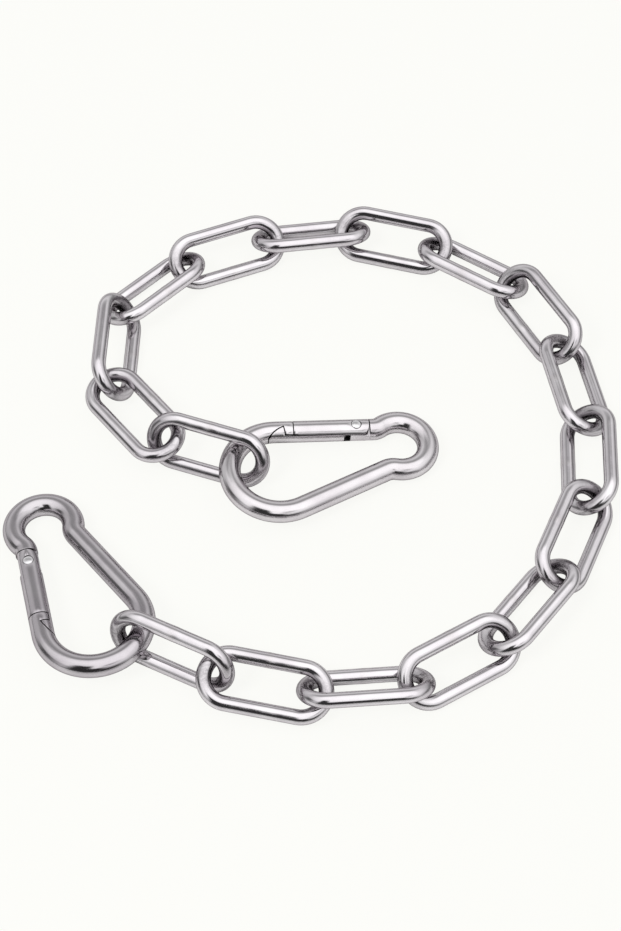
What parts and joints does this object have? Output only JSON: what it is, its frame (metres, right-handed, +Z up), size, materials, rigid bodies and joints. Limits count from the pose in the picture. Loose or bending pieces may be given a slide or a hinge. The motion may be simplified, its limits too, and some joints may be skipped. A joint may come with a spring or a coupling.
{
  "type": "long-link steel chain with a spring snap hook at each end",
  "caption": "Polished long-link steel chain laid in an open spiral, with a pear-shaped spring snap hook at each end.",
  "frame": {"origin": "under the middle of the whole object as it lies, on the floor", "axes": "+Z up from the floor, +Y away from the viewer of the picture, +X to the viewer's right"},
  "size_m": [0.217, 0.2204, 0.0212],
  "materials": {
    "polished_steel": "polished stainless steel, nearly mirror bright",
    "rivet_steel": "plain drawn steel"
  },
  "bodies": {
    "link_01": {"link_01": "polished_steel"},
    "link_02": {"link_02": "polished_steel"},
    "link_03": {"link_03": "polished_steel"},
    "link_04": {"link_04": "polished_steel"},
    "link_05": {"link_05": "polished_steel"},
    "link_06": {"link_06": "polished_steel"},
    "link_07": {"link_07": "polished_steel"},
    "link_08": {"link_08": "polished_steel"},
    "link_09": {"link_09": "polished_steel"},
    "link_10": {"link_10": "polished_steel"},
    "link_11": {"link_11": "polished_steel"},
    "link_12": {"link_12": "polished_steel"},
    "link_13": {"link_13": "polished_steel"},
    "link_14": {"link_14": "polished_steel"},
    "link_15": {"link_15": "polished_steel"},
    "link_16": {"link_16": "polished_steel"},
    "link_17": {"link_17": "polished_steel"},
    "hook_a": {"hook_a_body": "polished_steel"},
    "hook_a_gate": {"hook_a_gate": "polished_steel", "hook_a_rivet": "rivet_steel", "hook_a_plunger": "rivet_steel", "hook_a_spring": "rivet_steel"},
    "hook_b": {"hook_b_body": "polished_steel"},
    "hook_b_gate": {"hook_b_gate": "polished_steel", "hook_b_rivet": "rivet_steel", "hook_b_plunger": "rivet_steel", "hook_b_spring": "rivet_steel"}
  },
  "joints": [
    {"name": "joint_link_10", "type": "hinge", "parent": "link_09", "child": "link_10", "pos_m": [0.07307, 0.07021, 0.00622], "axis": [0, 0, 1], "range_deg": [-12, 2.5]},
    {"name": "joint_link_11", "type": "hinge", "parent": "link_10", "child": "link_11", "pos_m": [0.04985, 0.09662, 0.00657], "axis": [0, 0, 1], "range_deg": [-8, 2.5]},
    {"name": "joint_link_12", "type": "hinge", "parent": "link_11", "child": "link_12", "pos_m": [0.01635, 0.10585, 0.007], "axis": [0, 0, 1], "range_deg": [-12, 2.5]},
    {"name": "joint_link_13", "type": "hinge", "parent": "link_12", "child": "link_13", "pos_m": [-0.01799, 0.10104, 0.007], "axis": [0, 0, 1], "range_deg": [-12, 2.5]},
    {"name": "joint_link_14", "type": "hinge", "parent": "link_13", "child": "link_14", "pos_m": [-0.0505, 0.08875, 0.00689], "axis": [0, 0, 1], "range_deg": [-12, 2.5]},
    {"name": "joint_link_15", "type": "hinge", "parent": "link_14", "child": "link_15", "pos_m": [-0.07145, 0.06059, 0.00749], "axis": [0, 0, 1], "range_deg": [-12, 2.5]},
    {"name": "joint_link_16", "type": "hinge", "parent": "link_15", "child": "link_16", "pos_m": [-0.07668, 0.02551, 0.01042], "axis": [0, 0, 1], "range_deg": [-12, 2.5]},
    {"name": "joint_link_17", "type": "hinge", "parent": "link_16", "child": "link_17", "pos_m": [-0.05483, -0.00307, 0.00671], "axis": [0, 0, 1], "range_deg": [-12, 2.5]},
    {"name": "joint_hook_b", "type": "hinge", "parent": "link_17", "child": "hook_b", "pos_m": [-0.02944, -0.01105, 0.00627], "axis": [0, 0, 1], "range_deg": [-12, 2]},
    {"name": "joint_link_08", "type": "hinge", "parent": "link_09", "child": "link_08", "pos_m": [0.08831, 0.04283, 0.00654], "axis": [0, 0, -1], "range_deg": [-12, 2.5]},
    {"name": "joint_link_07", "type": "hinge", "parent": "link_08", "child": "link_07", "pos_m": [0.0944, 0.0098, 0.00643], "axis": [0, 0, -1], "range_deg": [-12, 2]},
    {"name": "joint_link_06", "type": "hinge", "parent": "link_07", "child": "link_06", "pos_m": [0.10106, -0.02468, 0.00705], "axis": [0, 0, -1], "range_deg": [-12, 2.5]},
    {"name": "joint_link_05", "type": "hinge", "parent": "link_06", "child": "link_05", "pos_m": [0.08722, -0.05643, 0.00712], "axis": [0, 0, -1], "range_deg": [-12, 2.5]},
    {"name": "joint_link_04", "type": "hinge", "parent": "link_05", "child": "link_04", "pos_m": [0.06546, -0.08337, 0.0072], "axis": [0, 0, -1], "range_deg": [-12, 2.5]},
    {"name": "joint_link_03", "type": "hinge", "parent": "link_04", "child": "link_03", "pos_m": [0.03487, -0.1002, 0.00757], "axis": [0, 0, -1], "range_deg": [-12, 2.5]},
    {"name": "joint_link_02", "type": "hinge", "parent": "link_03", "child": "link_02", "pos_m": [0.00104, -0.10439, 0.00857], "axis": [0, 0, -1], "range_deg": [-5, 2.5]},
    {"name": "joint_link_01", "type": "hinge", "parent": "link_02", "child": "link_01", "pos_m": [-0.03074, -0.09072, 0.01402], "axis": [0, 0, -1], "range_deg": [-12, 2.5]},
    {"name": "joint_hook_a", "type": "hinge", "parent": "link_01", "child": "hook_a", "pos_m": [-0.05933, -0.08254, 0.0063], "axis": [0, 0, -1], "range_deg": [-12, 2]},
    {"name": "joint_gate_a", "type": "hinge", "parent": "hook_a", "child": "hook_a_gate", "pos_m": [-0.09784, -0.05004, 0.00618], "axis": [-0.0215, 0.0863, 0.996], "range_deg": [0, 30], "stiffness_Nm_per_rad": 0.03, "springref_deg": -20.05},
    {"name": "joint_gate_b", "type": "hinge", "parent": "hook_b", "child": "hook_b_gate", "pos_m": [0.01528, 0.00738, 0.006], "axis": [0.0816, 0.0074, 0.9966], "range_deg": [0, 30], "stiffness_Nm_per_rad": 0.03, "springref_deg": -20.05}
  ]
}
